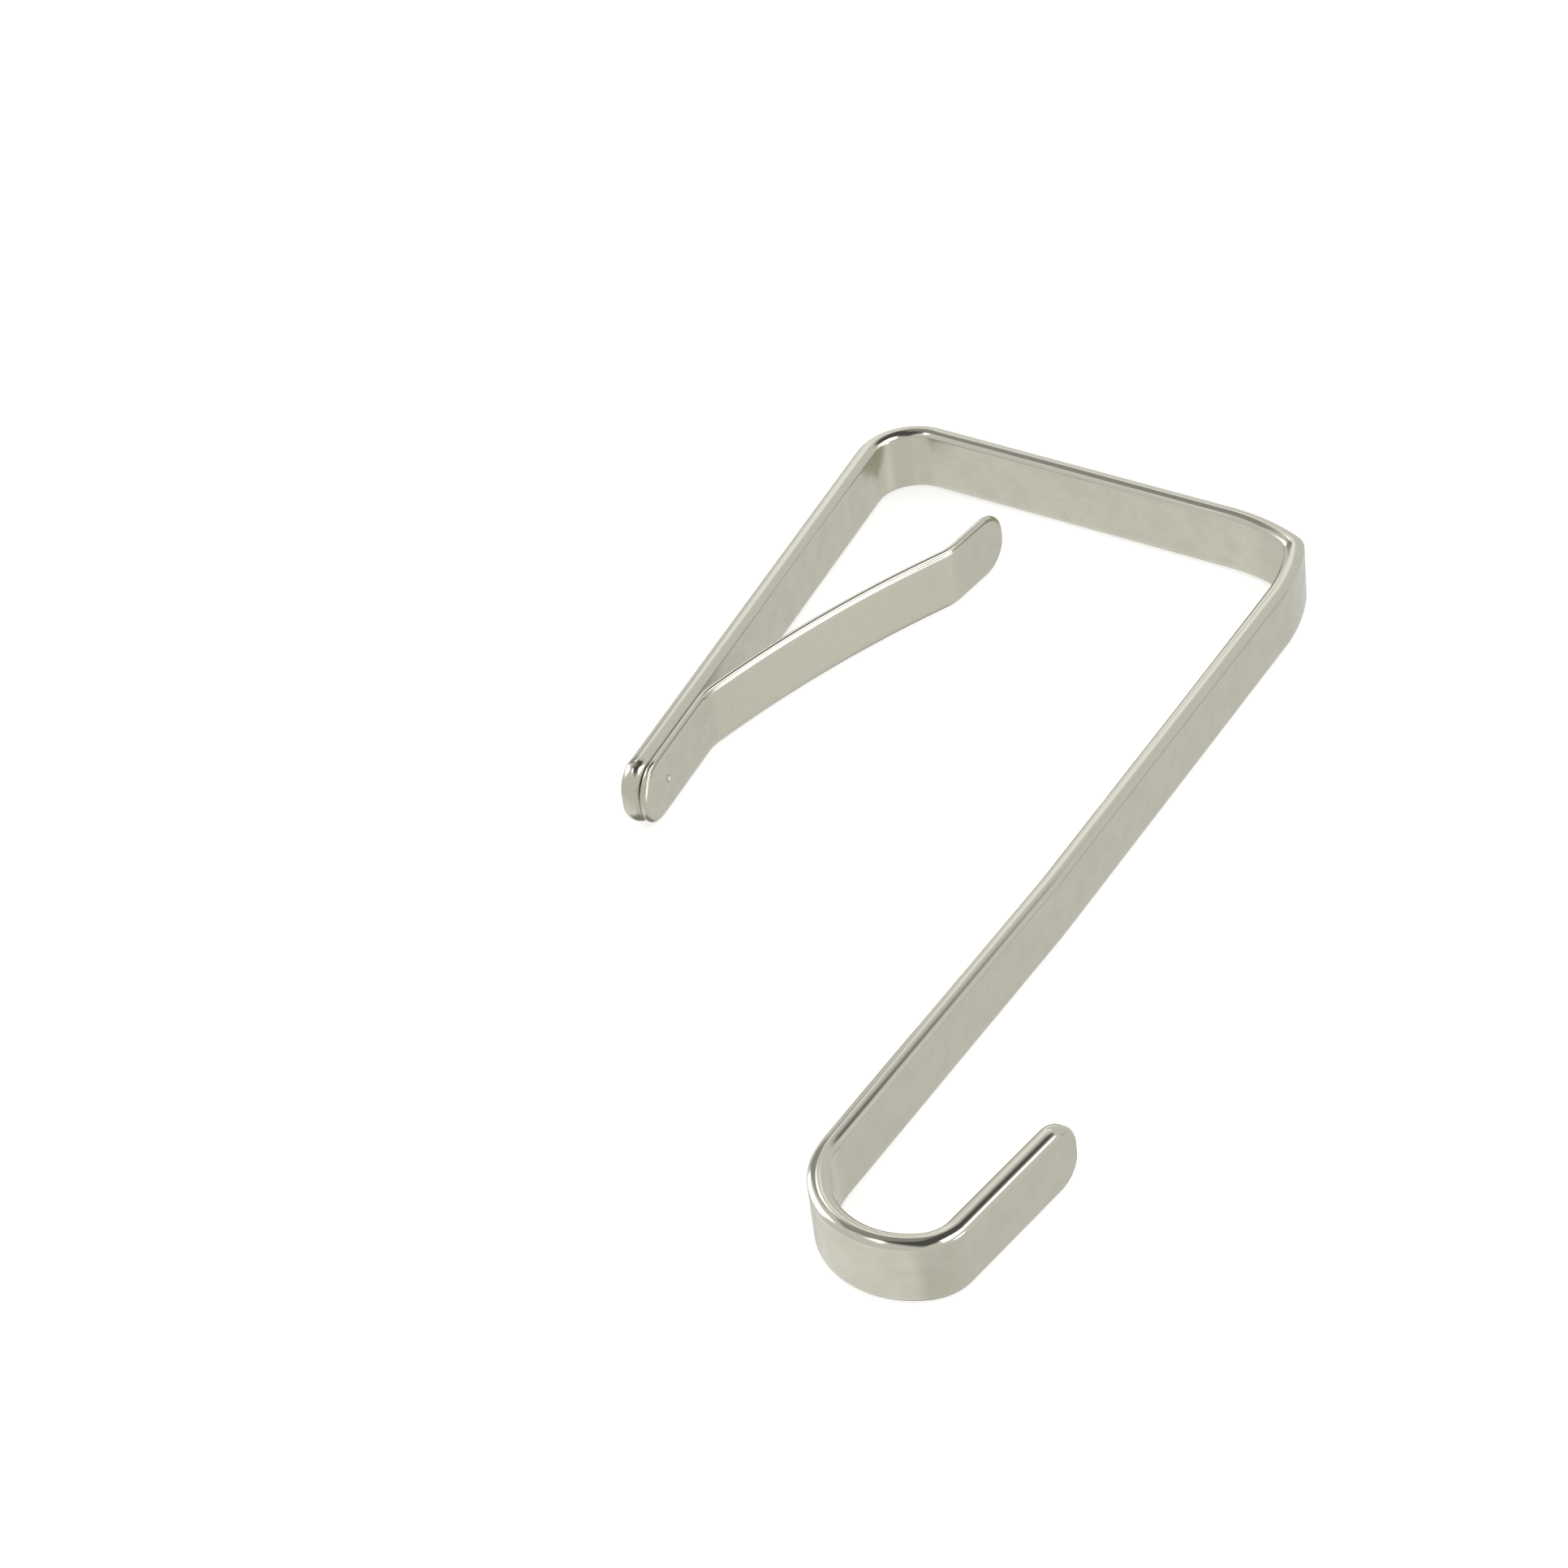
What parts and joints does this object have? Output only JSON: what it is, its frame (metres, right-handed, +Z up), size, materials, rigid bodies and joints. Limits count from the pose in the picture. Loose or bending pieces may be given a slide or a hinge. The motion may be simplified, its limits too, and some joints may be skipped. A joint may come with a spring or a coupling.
{
  "type": "over-door hook",
  "caption": "Flat-bar hook that hangs over the top of a door, with a J-shaped crook in front and a welded spring tongue that presses on the door's back.",
  "frame": {"origin": "middle of the underside of the top run, where the hook sits on the door's top edge", "axes": "+Z up as the hook hangs; +X out from the door's front, to the side that the crook is on; Y across the width of the strip"},
  "size_m": [0.0789, 0.008, 0.1193],
  "materials": {
    "satin_nickel": "satin nickel plate on rolled steel bar, soft even sheen with bright rolled edges",
    "spring_nickel": "satin nickel plate on thin spring steel, soft even sheen with bright rolled edges"
  },
  "bodies": {
    "root": {"hook_strip": "satin_nickel", "spring_tongue": "spring_nickel"}
  },
  "joints": []
}
